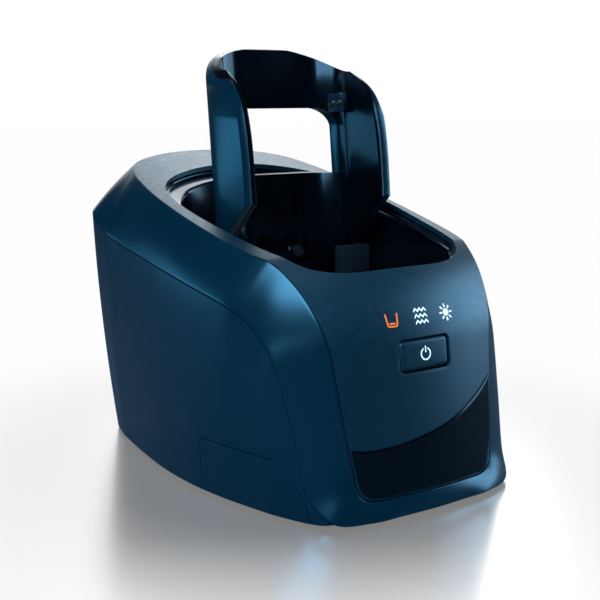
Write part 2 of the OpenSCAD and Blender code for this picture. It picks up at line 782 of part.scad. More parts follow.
// ---------- holder ----------
arch_foot_z = 82;
arch_lean = 6.3;
arch_back_y = 22;
trim_t = 2.2;
module arch_plan(t) {
    w = arch_w - 2 * t;
    r = 24 - t;
    hull_y = arch_back_y - t;
    union() {
        translate([-w / 2, -60]) square([w, 60 + hull_y - r]);
        translate([-w / 2 + r, -60]) square([w - 2 * r, 60 + hull_y]);
        for (s = [-1, 1])
            translate([s * (w / 2 - r), hull_y - r]) circle(r, $fn = 96);
    }
}
// Wall between two depths below the arch's outer surface
module arch_wall(t0, t1) {
    translate([0, 0, arch_foot_z])
        rotate([-arch_lean, 0, 0])
            translate([0, 0, -20])
                linear_extrude(150)
                    difference() {
                        arch_plan(t0);
                        arch_plan(t1);
                        translate([-60, -70]) square([120, 20]);
                    }
}
// An open curve through the points, with k steps between two of them, kept under the arch's top
function open_curve(points, k) =
    let (n = len(points) - 1)
    concat([for (i = [0 : n - 1], j = [0 : k - 1])
        let (p = spline_at(points[max(i - 1, 0)], points[i], points[i + 1], points[min(i + 2, n)], j / k))
        [p[0], min(p[1], arch_top_z)]], [points[n]]);
arch_steps = 4;
module arch_side() {
    // seen from the side, in y and z
    front = [[-17, 117], [-16.3, 125], [-15, 136], [-12.8, 148], [-9.4, 158.5], [-4.5, 165.6],
        [3, 170.8], [11, 175], [19, 179], [26, 182.2], [33, arch_top_z]];
    rotate([90, 0, 90])
        translate([0, 0, -60])
            linear_extrude(120)
                polygon(concat(open_curve(front, arch_steps), [[40, arch_top_z], [40, 70], [32, 70.4]]));
}
module arch_front() {
    // seen from the front, in x and z
    shoulder = [[arch_w / 2 + 1, 148], [38.4, 156], [36.9, 164], [34.6, 170.4], [30.6, 175.4],
        [24, 179.3], [15, 181.9], [6, arch_top_z]];
    half = concat([[arch_w / 2 + 1, 60]], open_curve(shoulder, arch_steps));
    mirrored = [for (i = [len(half) - 1 : -1 : 0]) [-half[i][0], half[i][1]]];
    plate(-40, 100)
        polygon(concat(half, mirrored));
}
window_low_z = 126;
window_w = 65;
module arch_window() {
    r = 9;
    plate(-60, 130)
        union() {
            translate([-window_w / 2, window_low_z]) square([window_w, window_h - r]);
            translate([-window_w / 2 + r, window_low_z]) square([window_w - 2 * r, window_h]);
            for (s = [-1, 1])
                translate([s * (window_w / 2 - r), window_low_z + window_h - r]) circle(r);
        }
}
module arch_part(t0, t1) {
    difference() {
        intersection() {
            arch_wall(t0, t1);
            arch_side();
            arch_front();
        }
        arch_window();
        for (s = [-1, 1])
            translate([s * 10, 0, screw_z]) rotate([-90, 0, 0]) cylinder(r = 1.5, h = 60);
    }
}
screw_z = 90;
module holder_arch() {
    color(frame_color) arch_part(0, arch_t - trim_t - 0.1);
}
module holder_inner_trim() {
    color("black") arch_part(arch_t - trim_t, arch_t);
}
contact_at = [29.8, 11.7, 158.6];
contact_turn = 19.4;
module at_contact() {
    translate(contact_at)
        rotate([-arch_lean, 0, contact_turn])
            children();
}
module contact_block() {
    color("lightsteelblue")
        difference() {
            at_contact() cube([3.4, 8.4, 8.4], center = true);
            for (d = [-2, 2])
                at_contact() translate([0, d, 0]) rotate([0, 90, 0]) cylinder(r = 0.9, h = 10, center = true);
        }
}
module contact_pins() {
    color("gold")
        for (d = [-2, 2])
            at_contact() translate([-2.6, d, 0]) rotate([0, 90, 0]) cylinder(r = 0.85, h = 4.2);
}
yoke_top_z = 92;
yoke_low_z = 79.5;
carriage_top_z = 106;
carriage_y = [53.6 + 0.8, 66];
bush_r = 4;
module lift_carriage() {
    h = yoke_top_z - yoke_low_z;
    color("dimgray")
        difference() {
            union() {
                translate([-42.2, 24.2, yoke_low_z]) cube([84.4, 3.4, h]);
                for (s = [-1, 1]) {
                    translate([s * 40.9 - 1.3, 2, yoke_low_z]) cube([2.6, 24, h]);
                    translate([s * 33.5 - 7.5, 2, yoke_low_z]) cube([15, 5.6, h]);
                }
                translate([-11, 25, carriage_low_z]) cube([22, 32, 18]);
                translate([-22, carriage_y[0], carriage_low_z])
                    cube([44, carriage_y[1] - carriage_y[0], carriage_top_z - carriage_low_z]);
            }
            for (s = [-1, 1]) {
                translate([s * rod_x, rod_y, 0]) cylinder(r = bush_r + 0.01, h = 200);
                translate([s * 10, 20, screw_z]) rotate([-90, 0, 0]) cylinder(r = 1.3, h = 14);
            }
        }
}
module carriage_bushings() {
    color("goldenrod")
        for (s = [-1, 1])
            translate([s * rod_x, rod_y, carriage_low_z])
                difference() {
                    cylinder(r = bush_r, h = carriage_top_z - carriage_low_z);
                    translate([0, 0, -1]) cylinder(d = rod_d + 0.1, h = 40);
                }
}
module carriage_screws() {
    color("silver")
        for (s = [-1, 1])
            translate([s * 10, 0, screw_z])
                rotate([-90, 0, 0]) {
                    translate([0, 0, 17.2]) cylinder(r = 1.2, h = 14);
                    translate([0, 0, 14.6]) cylinder(r = 2.6, h = 1.9);
                }
}

// ---------- gears ----------
pressure = 20;
tooth_reach = 0.85;   // addendum, as a share of the module
tooth_play = 0.14;    // backlash along the pitch line
function involute(base_r, r) = sqrt(max(0, pow(r / base_r, 2) - 1)) * 180 / PI - acos(min(1, base_r / r));
function half_tooth(m, n, r) =
    let (pitch_r = m * n / 2, base_r = pitch_r * cos(pressure))
    90 / n - tooth_play / 2 / pitch_r * 180 / PI + involute(base_r, pitch_r) - involute(base_r, max(r, base_r));
function gear_outline(m, n, turn) =
    let (low = m * (n / 2 - 1.15), high = m * (n / 2 + tooth_reach), k = 4)
    [for (t = [0 : n - 1]) each concat(
        [for (i = [0 : k]) let (r = mix(low, high, i / k), a = turn + t * 360 / n - half_tooth(m, n, r))
            [r * cos(a), r * sin(a)]],
        [for (i = [k : -1 : 0]) let (r = mix(low, high, i / k), a = turn + t * 360 / n + half_tooth(m, n, r))
            [r * cos(a), r * sin(a)]])];
module gear_disc(m, n, turn, x0, w) {
    translate([x0, gear_y, 0])
        rotate([90, 0, 90])
            linear_extrude(w)
                polygon(gear_outline(m, n, turn));
}
rack_half_w = 3.5;
pitch_y = gear_y - rack_module * drive_teeth / 2;
module lift_rack() {
    pitch = PI * rack_module;
    low = -2;
    high = ceil(lift_travel / pitch) + 3;
    top = rack_module * tooth_reach;
    root = -rack_module * 1.15;
    half = pitch / 4 - tooth_play / 2;
    color("goldenrod")
        translate([-rack_half_w, 0, gear_z])
            rotate([90, 0, 90])
                linear_extrude(2 * rack_half_w)
                    polygon(concat(
                        [[carriage_y[1] + 0.1, (low - 0.5) * pitch]],
                        [for (k = [low : high]) each [
                            [pitch_y + root, k * pitch - half + root * tan(pressure)],
                            [pitch_y + top, k * pitch - half + top * tan(pressure)],
                            [pitch_y + top, k * pitch + half - top * tan(pressure)],
                            [pitch_y + root, k * pitch + half - root * tan(pressure)]]],
                        [[carriage_y[1] + 0.1, (high + 0.5) * pitch]]));
}
module drive_gear() {
    color("ivory")
        translate([0, 0, gear_z])
            difference() {
                union() {
                    gear_disc(rack_module, drive_teeth, 180 / drive_teeth, -4, 8.5);
                    gear_disc(wheel_module, wheel_teeth, 0, 4.5, 5.5);
                }
                translate([-20, gear_y, 0]) rotate([0, 90, 0]) cylinder(r = axle_r + 0.05, h = 40);
            }
}
module motor_pinion() {
    color("gold")
        translate([0, 0, motor_z])
            difference() {
                gear_disc(wheel_module, pinion_teeth, 180 / pinion_teeth, 4.6, 5.6);
                translate([-20, gear_y, 0]) rotate([0, 90, 0]) cylinder(r = 1.04, h = 40);
            }
}

cleaning_chamber();
chamber_base();
rubber_feet();
outer_frame();
top_cover();
front_gloss_inlay();
side_panel_left();
side_panel_right();
rear_cover();
basin_liner();
sump_gasket();
drying_coil();
housing_floor();
lift_chassis();
chassis_screws();
guide_rods();
lift_motor();
gear_axle();
limit_switches();
control_board();
board_chips();
display_board();
indicator_leds();
tactile_switch();
refill_icon_lens();
rinse_icon_lens();
drying_icon_lens();
power_inlet();
inlet_pins();
latch_guides();
release_spring_left();
release_spring_right();
holder_arch();
holder_inner_trim();
contact_block();
contact_pins();
lift_carriage();
carriage_bushings();
lift_rack();
carriage_screws();
drive_gear();
motor_pinion();
power_button();
power_symbol_lens();
release_button_left();
release_button_right();
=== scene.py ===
# %% [markdown]
# # A cleaning station for an electric shaver
# The station is a rounded glossy housing with a basin. A tall arch holds the shaver head down in the
# basin, a motor lowers it, and a tank with cleaning fluid stays on the table when the housing is lifted.
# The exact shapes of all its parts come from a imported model, so this lesson begins by loading that model.
# Everything after that is about looks: smoother shells, softened edges, finishes, light and a camera.

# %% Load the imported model
import json
import math

import bpy
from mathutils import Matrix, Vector


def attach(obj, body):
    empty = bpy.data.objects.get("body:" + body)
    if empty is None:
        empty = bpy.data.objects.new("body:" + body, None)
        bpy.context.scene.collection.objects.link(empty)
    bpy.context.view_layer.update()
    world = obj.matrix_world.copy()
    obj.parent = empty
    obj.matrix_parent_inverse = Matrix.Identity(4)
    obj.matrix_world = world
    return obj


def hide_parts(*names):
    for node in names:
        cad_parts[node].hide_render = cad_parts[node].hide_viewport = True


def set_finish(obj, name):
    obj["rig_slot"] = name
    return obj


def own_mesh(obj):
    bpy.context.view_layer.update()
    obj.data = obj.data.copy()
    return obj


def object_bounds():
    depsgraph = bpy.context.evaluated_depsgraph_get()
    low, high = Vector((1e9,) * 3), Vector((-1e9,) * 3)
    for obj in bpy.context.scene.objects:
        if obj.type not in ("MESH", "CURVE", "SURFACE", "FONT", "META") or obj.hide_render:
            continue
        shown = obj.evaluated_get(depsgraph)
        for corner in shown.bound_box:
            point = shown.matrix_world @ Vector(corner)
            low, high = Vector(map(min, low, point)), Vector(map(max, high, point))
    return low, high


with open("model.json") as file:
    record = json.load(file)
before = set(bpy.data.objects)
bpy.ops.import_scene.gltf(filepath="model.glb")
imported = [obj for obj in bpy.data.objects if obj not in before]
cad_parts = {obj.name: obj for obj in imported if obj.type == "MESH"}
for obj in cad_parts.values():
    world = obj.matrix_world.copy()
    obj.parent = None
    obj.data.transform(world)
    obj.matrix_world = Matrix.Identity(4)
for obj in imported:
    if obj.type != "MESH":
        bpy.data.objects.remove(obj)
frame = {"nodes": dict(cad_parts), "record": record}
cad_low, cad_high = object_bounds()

MM = 0.001
nodes = frame["nodes"]


# %% [markdown]
# ## Small helpers
# Operators act on whatever is selected, so `choose` first clears the selection and then picks one piece.
# `shape` adds a modifier, sets it up and applies it at once, which is what a person does in the
# modifier tab when a step is finished.

# %% Helpers for choosing, modifying and handing over a piece
def choose(piece):
    bpy.ops.object.select_all(action="DESELECT")
    piece.select_set(True)
    bpy.context.view_layer.objects.active = piece


def shape(piece, kind, **settings):
    choose(piece)
    step = piece.modifiers.new(kind.title(), kind)
    for key, value in settings.items():
        setattr(step, key, value)
    bpy.ops.object.modifier_apply(modifier=step.name)


def edit(piece, *steps):
    """Run edit-mode operators on all of a piece's mesh."""
    choose(piece)
    bpy.ops.object.mode_set(mode="EDIT")
    bpy.ops.mesh.select_all(action="SELECT")
    for step in steps:
        step()
    bpy.ops.object.mode_set(mode="OBJECT")


def smooth(piece, degrees=32):
    choose(piece)
    bpy.ops.object.shade_smooth_by_angle(angle=math.radians(degrees))


def hand_over(piece, body, slot_name, *replaced):
    """The piece rides on a body, takes a slot's finish and stands for the nodes that it replaces."""
    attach(piece, body)
    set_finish(piece, slot_name)
    if replaced:
        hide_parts(*replaced)
    made.append(piece.name)


made = []
print("helpers ready")


# %% [markdown]
# ## The middle line of the cover
# Seen from the side, the cover is three simple stretches: a front that leans back a little, a round
# shoulder, and a deck that rises gently to the back. A place on it is given by how far it is from the
# middle, `x`, and by the distance `s` walked up that line. Both sides fall away from the middle a bit,
# which is called the crown. All sizes in these cells are millimetres.

# %% The cover as a formula
FRONT_Y, FRONT_LEAN, FRONT_CROWN = -96.8, 0.137, 0.0041
DECK_Z, DECK_RISE, DECK_CROWN = 115.2, 0.23, 0.0004
SHOULDER_R = 44
front_tilt, deck_tilt = math.atan(FRONT_LEAN), math.atan(DECK_RISE)
shoulder_turn = math.pi / 2 - front_tilt - deck_tilt
corner_z = (DECK_Z + DECK_RISE * FRONT_Y) / (1 - DECK_RISE * FRONT_LEAN)
corner_y = FRONT_Y + FRONT_LEAN * corner_z
reach = SHOULDER_R * math.tan(shoulder_turn / 2)
shoulder_y = corner_y - reach * math.sin(front_tilt) + SHOULDER_R * math.cos(front_tilt)
shoulder_z = corner_z - reach * math.cos(front_tilt) - SHOULDER_R * math.sin(front_tilt)
front_run = corner_z / math.cos(front_tilt) - reach
shoulder_run = SHOULDER_R * shoulder_turn
deck_y = corner_y + reach * math.cos(deck_tilt)


def middle_line(s):
    """y, z and slope at distance s up the middle line."""
    if s < front_run:
        return FRONT_Y + s * math.sin(front_tilt), s * math.cos(front_tilt), front_tilt
    if s < front_run + shoulder_run:
        a = front_tilt + (s - front_run) / SHOULDER_R
        return shoulder_y - SHOULDER_R * math.cos(a), shoulder_z + SHOULDER_R * math.sin(a), a
    d = s - front_run - shoulder_run
    z = DECK_Z + DECK_RISE * deck_y + d * math.sin(deck_tilt)
    return deck_y + d * math.cos(deck_tilt), z, math.pi / 2 - deck_tilt


def cover_at(x, s, h=0.0):
    y, z, slope = middle_line(s)
    d = h - (DECK_CROWN + (FRONT_CROWN - DECK_CROWN) * math.cos(slope)) * x * x
    return Vector((x, y - math.cos(slope) * d, z + math.sin(slope) * d))


def s_of_z(z):
    if z < front_run * math.cos(front_tilt):
        return z / math.cos(front_tilt)
    return front_run + SHOULDER_R * (math.asin((z - shoulder_z) / SHOULDER_R) - front_tilt)


def s_of_y(y):
    if y < deck_y:
        return front_run + SHOULDER_R * (math.acos((shoulder_y - y) / SHOULDER_R) - front_tilt)
    return front_run + shoulder_run + (y - deck_y) / math.cos(deck_tilt)


print("front run %.1f mm, shoulder run %.1f mm" % (front_run, shoulder_run))


# %% [markdown]
# ## The edges of the shells
# Each shell lies between two closed edges. An edge is drawn on the right-hand half only, with a few
# points from the front's middle to the back's middle. The left half is its mirror image, and a smooth
# curve runs through all of the points, as a bent spline batten would.

# %% Edges as smooth closed curves
def spline_at(a, b, c, d, t):
    return (2 * b + (c - a) * t + (2 * a - 5 * b + 4 * c - d) * t * t + (3 * b - a - 3 * c + d) * t ** 3) / 2


class Edge:
    """A closed curve through a half outline and its mirror image; at(u) goes round it once from 0 to 1."""

    def __init__(self, half):
        right = [Vector(p) for p in half]
        left = [Vector((-p[0], *p[1:])) for p in right[-2:0:-1]]
        self.points = right + left

    def at(self, u):
        n = len(self.points)
        k, t = divmod(u * n, 1.0)
        a, b, c, d = (self.points[(int(k) + j) % n] for j in (-1, 0, 1, 2))
        return spline_at(a, b, c, d, t)


SKIRT_Z = 1.5
seam = Edge([
    (0, s_of_z(9.5)), (16, s_of_z(9.5)), (29, s_of_z(9.8)), (34.2, s_of_z(14)), (35.6, s_of_z(23)),
    (37.9, s_of_z(41)), (41, s_of_z(69)), (43.8, s_of_z(84)), (49, s_of_y(-61)), (53.8, s_of_y(-44)),
    (56.2, s_of_y(-22)), (57, s_of_y(2)), (56.4, s_of_y(26)), (54.2, s_of_y(46)), (50.5, s_of_y(62)),
    (42, s_of_y(76)), (24, s_of_y(83)), (0, s_of_y(84.5)),
])
rim = Edge([
    (0, s_of_y(-71)), (12, s_of_y(-70.8)), (22, s_of_y(-70)), (29, s_of_y(-68.5)), (33.5, s_of_y(-66.7)),
    (37, s_of_y(-64.8)), (40, s_of_y(-62)), (42.3, s_of_y(-58.5)), (44.6, s_of_y(-53)), (47.6, s_of_y(-40)),
    (50, s_of_y(-20)), (51.6, s_of_y(0)), (51.4, s_of_y(18)), (49.6, s_of_y(30)), (46, s_of_y(39.5)),
    (37, s_of_y(49)), (20, s_of_y(56.5)), (0, s_of_y(59)),
])
crease = Edge([
    (0, -97, 1.5), (16, -96.4, 1.5), (31, -95.2, 1.5), (45.6, -89.8, 2.6), (51.8, -80.3, 13),
    (54.1, -74.5, 36.1), (57.2, -66.9, 59.7), (58.5, -59.7, 69.5), (60.8, -50.5, 76.9), (64.2, -38.8, 81.7),
    (66.3, -18, 85.6), (66.8, 6, 89.2), (66.7, 30, 92.8), (66.5, 50, 95.8), (66.2, 68, 100),
    (62, 86, 107.5), (40, 95.5, 110), (0, 97, 110),
])
base = Edge([(x, y, SKIRT_Z) for x, y in (
    (0, -97), (16, -96.4), (31, -95.2), (45.6, -89.8), (50.7, -82.6),
    (54.4, -74.9), (57.9, -66), (60, -58.6), (62.3, -50), (65.2, -37.5),
    (68, -18), (68.6, 4), (67, 26), (64.6, 46), (61.8, 62),
    (55.5, 79), (38, 89.5), (0, 91.5),
)])
well = Edge([
    (0, -67.4), (12, -67.2), (21.6, -66.4), (27.8, -65), (32, -63.4),
    (35.2, -61.4), (38, -58.9), (40.4, -55.6), (42.9, -50.8), (46, -38.6),
    (48.4, -20), (47, -2), (46.6, 16), (44.6, 27), (40, 35),
    (32, 42), (17, 47.4), (0, 49),
])
print(len(seam.points), "points round each edge")


# %% [markdown]
# ## A sheet between edges
# A grid primitive is bent into place: its two directions become the way round the body, `u`, and the
# way from one edge to the other, `v`. If the ring closes, the two ends of the grid are merged. A sheet
# gets its wall afterwards from Solidify, and a narrow bevel rounds the edges so that they catch light.

# %% Bend a grid into a sheet, then give it a wall
def sheet(name, place, around, across, ring=True, inwards=False):
    bpy.ops.object.select_all(action="DESELECT")
    bpy.ops.mesh.primitive_grid_add(x_subdivisions=around, y_subdivisions=across, size=1)
    piece = bpy.context.object
    piece.name = name
    for vertex in piece.data.vertices:
        vertex.co = Vector(place(vertex.co.x + 0.5, vertex.co.y + 0.5)) * MM
    if ring:
        edit(piece, lambda: bpy.ops.mesh.remove_doubles(threshold=0.002 * MM))
    middle = sum((f.center for f in piece.data.polygons), Vector()) / len(piece.data.polygons)
    outward = sum(f.normal.dot(f.center - middle) for f in piece.data.polygons) > 0
    if outward == inwards:
        edit(piece, bpy.ops.mesh.flip_normals)
    return piece


def wall(piece, thickness, edge=0.3, segments=3):
    shape(piece, "SOLIDIFY", thickness=thickness * MM, offset=-1, use_even_offset=True)
    if edge:
        shape(piece, "BEVEL", width=edge * MM, segments=segments, limit_method="ANGLE",
              angle_limit=math.radians(50))
    smooth(piece)
    return piece


def mixed(a, b, t):
    return a * (1 - t) + b * t


def drawn_in(v, gap, width):
    """v from 0 to 1, kept gap millimetres clear of both ends of a strip of this width."""
    share = min(gap / max(width, 1), 0.42)
    return share + (1 - 2 * share) * v


SEAM_GAP = 0.3
SHELL_T = 2.2
print("sheet tools ready")


# %% [markdown]
# ## Top cover
# One moulded shell makes the satin front panel, the shoulder and the deck round the basin. It follows
# the cover formula exactly, so its highlight runs from the front over the shoulder without a kink.

# %% Top cover
def cover_place(u, v):
    low, high = seam.at(u % 1), rim.at(u % 1)
    width = (cover_at(*low) - cover_at(*high)).length
    p = mixed(low, high, drawn_in(v, SEAM_GAP / 2, width))
    return cover_at(p[0], p[1])


cover = sheet("top_cover_shell", cover_place, 306, 48)
wall(cover, SHELL_T, edge=0)
print(cover.name, len(cover.data.polygons), "faces")


# %% [markdown]
# The power button needs an opening with round corners. A box with four bevelled edges is a good cutter:
# it is tipped back to the front's lean and taken away with a boolean.

# %% Opening for the power button
POWER_W, POWER_H, POWER_Z, POWER_GAP, POWER_R = 25, 12.6, 62.8, 0.4, 2.2
power_middle = cover_at(0, s_of_z(POWER_Z))


def upright_edges_round(piece, radius, segments=6):
    """Bevel the edges that run from front to back."""
    choose(piece)
    bpy.ops.object.mode_set(mode="EDIT")
    bpy.ops.mesh.select_all(action="DESELECT")
    bpy.ops.object.mode_set(mode="OBJECT")
    points = piece.data.vertices
    for line in piece.data.edges:
        a, b = (points[i].co for i in line.vertices)
        line.select = abs((a - b).normalized().y) > 0.99
    bpy.ops.object.mode_set(mode="EDIT")
    bpy.ops.mesh.select_mode(type="EDGE")
    bpy.ops.mesh.bevel(offset=radius * MM, segments=segments, affect="EDGES")
    bpy.ops.mesh.select_mode(type="VERT")
    bpy.ops.object.mode_set(mode="OBJECT")


def block(name, low, high):
    """A box primitive between two corners, with its place in its mesh."""
    middle = [(a + b) / 2 for a, b in zip(low, high)]
    bpy.ops.object.select_all(action="DESELECT")
    bpy.ops.mesh.primitive_cube_add(size=1)
    piece = bpy.context.object
    piece.name = name
    size = [b - a for a, b in zip(low, high)]
    for vertex in piece.data.vertices:
        vertex.co = Vector(c * s + m for c, s, m in zip(vertex.co, size, middle)) * MM
    return piece


def tip_back(piece):
    """Lean a piece drawn at the origin with the front, and carry it to the power button's place."""
    choose(piece)
    bpy.ops.transform.rotate(value=front_tilt, orient_axis="X", center_override=(0, 0, 0))
    bpy.ops.transform.translate(value=power_middle * MM)
    bpy.ops.object.transform_apply(location=True, rotation=True, scale=True)


def cut(piece, cutter, operation="DIFFERENCE"):
    shape(piece, "BOOLEAN", object=cutter, operation=operation, solver="EXACT")
    bpy.data.objects.remove(cutter)


cutter = block("cutter", (-POWER_W / 2 - POWER_GAP, -6, -POWER_H / 2 - POWER_GAP),
               (POWER_W / 2 + POWER_GAP, 8, POWER_H / 2 + POWER_GAP))
upright_edges_round(cutter, POWER_R + POWER_GAP)
tip_back(cutter)
cut(cover, cutter)
shape(cover, "BEVEL", width=0.22 * MM, segments=2, limit_method="ANGLE", angle_limit=math.radians(50))
smooth(cover, 30)
hand_over(cover, "housing", "satin_navy", "top_cover")
print(cover.name, len(cover.data.polygons), "faces")


# %% [markdown]
# ## Glossy frame
# A polished ring lies between the cover and the side walls. It bulges very slightly, and its outer edge
# is rolled, which gives the bright line that runs round the body. A wide bevel makes that roll.

# %% Frame
FRAME_BULGE = 0.9


def frame_place(u, v):
    low = crease.at(u % 1)
    high = cover_at(*seam.at(u % 1))
    along = crease.at((u + 0.004) % 1) - crease.at((u - 0.004) % 1)
    width = (high - low).length
    t = drawn_in(v, SEAM_GAP / 2, width)
    out = along.cross(high - low).normalized()
    return mixed(low, high, t) + out * FRAME_BULGE * 4 * t * (1 - t) * min(1, width / 20)


ring = sheet("outer_frame_shell", frame_place, 408, 14)
wall(ring, SHELL_T, edge=0.7, segments=4)
hand_over(ring, "housing", "gloss_navy", "outer_frame")
print(ring.name, len(ring.data.polygons), "faces")


# %% [markdown]
# ## Side walls, release buttons and back
# The walls hang from the frame's outer edge down to the table. The right wall is made once; a prism in
# the release button's outline is cut out of it, and the same prism, a little smaller, keeps the button.
# The left pair is a mirrored copy, so its faces are turned back the right way round.

# %% Side walls and release buttons
SIDE_BULGE = 1.3
SIDE_INSET = 0.35
POINTS_ROUND = len(crease.points)
FIRST, CORNER, LAST = 3, 15, 19     # points of the edges where the side wall and the back wall end
TIP_RISE, TIP_LENGTH = 1.05, 1.3    # the side wall's front tip lifts to meet the frame


def side_place(first, last):
    def place(u, v):
        station = first + (last - first) * u
        w = station / POINTS_ROUND
        low, high = base.at(w % 1), crease.at(w % 1)
        low = low + Vector((0, 0, TIP_RISE * max(0, 1 - (station - FIRST) / TIP_LENGTH) ** 2))
        along = crease.at((w + 0.004) % 1) - crease.at((w - 0.004) % 1)
        out = Vector((along.y, -along.x, 0)).normalized()
        width = (high - low).length
        t = v * (1 - min(0.4, SEAM_GAP / width))
        bulge = SIDE_BULGE * 4 * t * (1 - t) * min(1, width / 60)
        return mixed(low, high, t) + out * (bulge - SIDE_INSET)
    return place


RELEASE = [(-26, -2), (-26, 22.3), (-26.8, 24), (-28.6, 24.6), (-68, 24.6), (-71.2, 22.8),
           (-80.4, 9.4), (-82, 4), (-82, -2)]
BUTTON_GAP = 0.4
PRISM_X = 40, 80    # from inside the wall to well outside it
GRIP = (52, -60, 9), (59.6, -44, 22)    # the block behind the button that its spring pushes on


def release_prism(shrink):
    """The release button's outline in y and z, drawn in by shrink, as a bar along x."""
    middle = Vector((-54, 12))
    corners = []
    n = len(RELEASE)
    for i, p in enumerate(RELEASE):
        before, after = Vector(RELEASE[i - 1]), Vector(RELEASE[(i + 1) % n])
        a = (Vector(p) - before).normalized()
        b = (after - Vector(p)).normalized()
        normal = (Vector((a.y, -a.x)) + Vector((b.y, -b.x))).normalized()
        if normal.dot(Vector(p) - middle) > 0:
            normal = -normal
        corners.append(Vector(p) + normal * shrink / max(0.3, normal.dot(Vector((a.y, -a.x))) ** 2) ** 0.5)
    points = [(x * MM, c.x * MM, c.y * MM) for x in PRISM_X for c in corners]
    faces = [tuple(range(n))[::-1], tuple(range(n, 2 * n))]
    faces += [(i, (i + 1) % n, n + (i + 1) % n, n + i) for i in range(n)]
    mesh = bpy.data.meshes.new("prism")
    mesh.from_pydata(points, [], faces)
    piece = bpy.data.objects.new("prism", mesh)
    bpy.context.collection.objects.link(piece)
    edit(piece, bpy.ops.mesh.normals_make_consistent)
    return piece


def copy_of(piece, name):
    twin = piece.copy()
    twin.data = piece.data.copy()
    twin.name = name
    bpy.context.collection.objects.link(twin)
    return twin


def mirrored(piece, name):
    twin = copy_of(piece, name)
    for vertex in twin.data.vertices:
        vertex.co.x = -vertex.co.x
    edit(twin, bpy.ops.mesh.flip_normals)
    return twin


whole_side = sheet("side_wall_right", side_place(FIRST, CORNER), 132, 24, ring=False)
wall(whole_side, SHELL_T, edge=0)
button = copy_of(whole_side, "release_button_face_right")
cut(whole_side, release_prism(0))
cut(button, release_prism(BUTTON_GAP), "INTERSECT")
grip = block("grip", *GRIP)
shape(grip, "BEVEL", width=0.4 * MM, segments=2)
choose(button)
grip.select_set(True)
bpy.ops.object.join()
for piece in (whole_side, button):
    shape(piece, "BEVEL", width=0.3 * MM, segments=3, limit_method="ANGLE", angle_limit=math.radians(50))
    smooth(piece)
for side, body in (("right", "release_right"), ("left", "release_left")):
    face = button if side == "right" else mirrored(button, "release_button_face_left")
    panel = whole_side if side == "right" else mirrored(whole_side, "side_wall_left")
    hand_over(panel, "housing", "gloss_navy", "side_panel_" + side)
    hand_over(face, body, "gloss_navy", "release_button_" + side)
print("side walls and release buttons,", len(whole_side.data.polygons), "faces each wall")

# %% [markdown]
# The back wall is the same surface, between the other points of the edges. Its opening lets the plug of
# the mains cord reach the socket inside.

# %% Back wall with its socket opening
INLET_Z = 19
back = sheet("rear_wall", side_place(CORNER, LAST), 60, 24, ring=False)
wall(back, SHELL_T, edge=0)
INLET_HALF_W, INLET_HALF_H = 7.4, 3.9
cutter = block("cutter", (-INLET_HALF_W, 80, INLET_Z - INLET_HALF_H),
               (INLET_HALF_W, 100, INLET_Z + INLET_HALF_H))
upright_edges_round(cutter, INLET_HALF_H - 0.02, 8)
cut(back, cutter)
shape(back, "BEVEL", width=0.3 * MM, segments=3, limit_method="ANGLE", angle_limit=math.radians(50))
smooth(back)
hand_over(back, "housing", "gloss_navy", "rear_cover")
print(back.name, len(back.data.polygons), "faces")


# %% [markdown]
# ## Gloss inlay on the front
# A thin black strip is glued on the lower part of the front panel. Its upper edge climbs to the right.
# It is a small sheet of the cover surface, lifted a little and given a soft edge.

# %% Inlay
INLAY_TOP = [(-35.9, 30.4), (-33.6, 29.8), (-29, 29.2), (-18, 29.4), (-4, 31.4), (10, 34.6), (22, 39.2),
             (31, 44), (37.6, 48.4)]
INLAY_LOW = [(-34.9, 22.6), (-33.4, 15), (-29, 10.9), (-18, 10.4), (-4, 10.4), (10, 10.4), (22, 10.5),
             (31, 11.8), (35.6, 26)]
INLAY_LIFT, INLAY_T = 0.5, 0.35


def open_edge(points, u):
    n = len(points) - 1
    k = min(int(u * n), n - 1)
    a, b, c, d = (Vector(points[max(0, min(n, k + j))]) for j in (-1, 0, 1, 2))
    return spline_at(a, b, c, d, u * n - k)


def inlay_place(u, v):
    p = mixed(open_edge(INLAY_LOW, u), open_edge(INLAY_TOP, u), v)
    return cover_at(p[0], s_of_z(p[1]), INLAY_LIFT)


inlay = sheet("front_inlay_strip", inlay_place, 96, 16, ring=False)
if inlay.data.polygons[0].normal.y > 0:
    edit(inlay, bpy.ops.mesh.flip_normals)
wall(inlay, INLAY_T, edge=0.12, segments=3)
hand_over(inlay, "housing", "gloss_black", "front_gloss_inlay")
print(inlay.name, len(inlay.data.polygons), "faces")


# %% [markdown]
# ## Basin
# The basin is a deep tray: a flange under the deck, a lip, a ledge, steep walls and a floor with a big
# round hole. Its profile is a broken line whose corners are rounded off, drawn again at every step round
# the rim, so one bent grid makes the whole tray.

# %% Basin
DECK_UNDER = SHELL_T + 0.45
BASIN_FLOOR, BASIN_T, LEDGE_DROP = 54, 1.8, 4.2
SUMP_Y, SUMP_R = -18, 31
FLANGE_OUT, WALL_DRAFT, FOLD_R = 2.2, 0.985, 1.6
RIM_MIDDLE = Vector((0, s_of_y(-8)))


def rounded(points, radius, steps=4):
    """A broken line with each inner corner replaced by a short curve."""
    line = [points[0]]
    for a, b, c in zip(points, points[1:], points[2:]):
        back_by = min(radius, (b - a).length * 0.45)
        on_by = min(radius, (c - b).length * 0.45)
        start, end = b + (a - b).normalized() * back_by, b + (c - b).normalized() * on_by
        for k in range(steps + 1):
            t = k / steps
            line.append(mixed(mixed(start, b, t), mixed(b, end, t), t))
    return line + [points[-1]]


def inward(edge, u, distance):
    def flat(w):
        p = edge.at(w % 1)
        return cover_at(*p) if len(p) == 2 else p
    along = flat(u + 0.003) - flat(u - 0.003)
    return Vector((-along.y, along.x, 0)).normalized() * distance


